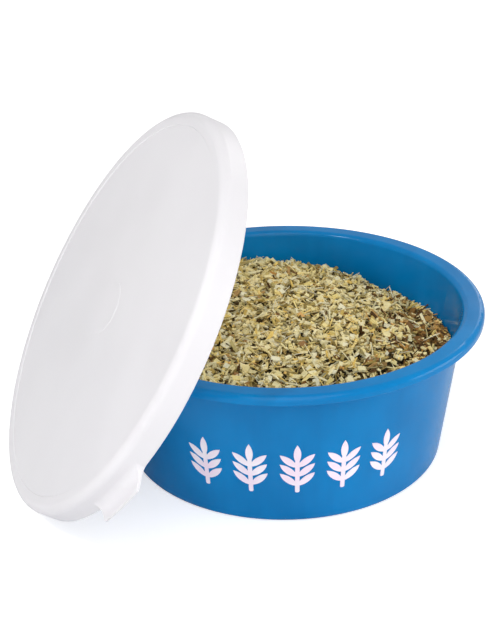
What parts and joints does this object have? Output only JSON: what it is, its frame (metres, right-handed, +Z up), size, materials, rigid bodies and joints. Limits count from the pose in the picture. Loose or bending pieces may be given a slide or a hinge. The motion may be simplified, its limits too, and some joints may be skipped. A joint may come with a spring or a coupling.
{
  "type": "feed bowl with lid",
  "caption": "Round moulded feed bowl with a turned-down rim, filled with chopped herb feed, and its round snap lid with a thumb tab, taken off and leaning on the rim.",
  "frame": {"origin": "middle of the bowl's foot ring, in the plane that the bowl stands on", "axes": "+Z up along the bowl's axis, -X towards the leaning lid, -Y towards the front with the stickers"},
  "size_m": [0.3652, 0.3226, 0.267],
  "materials": {
    "bowl_plastic": "moulded blue polypropylene, satin gloss",
    "lid_plastic": "moulded white low density polyethylene, waxy matt",
    "feed": "loose dry chopped herbs and straw",
    "sticker_foil": "pale pink cut vinyl foil"
  },
  "bodies": {
    "bowl": {"bowl": "bowl_plastic", "feed": "feed", "sprig_1": "sticker_foil", "sprig_2": "sticker_foil", "sprig_3": "sticker_foil", "sprig_4": "sticker_foil", "sprig_5": "sticker_foil"},
    "lid": {"lid": "lid_plastic"}
  },
  "joints": [
    {"name": "lid_lift", "type": "slide", "parent": "bowl", "child": "lid", "axis": [-0.849, 0, 0.5284], "range_m": [0, 0.25]}
  ]
}
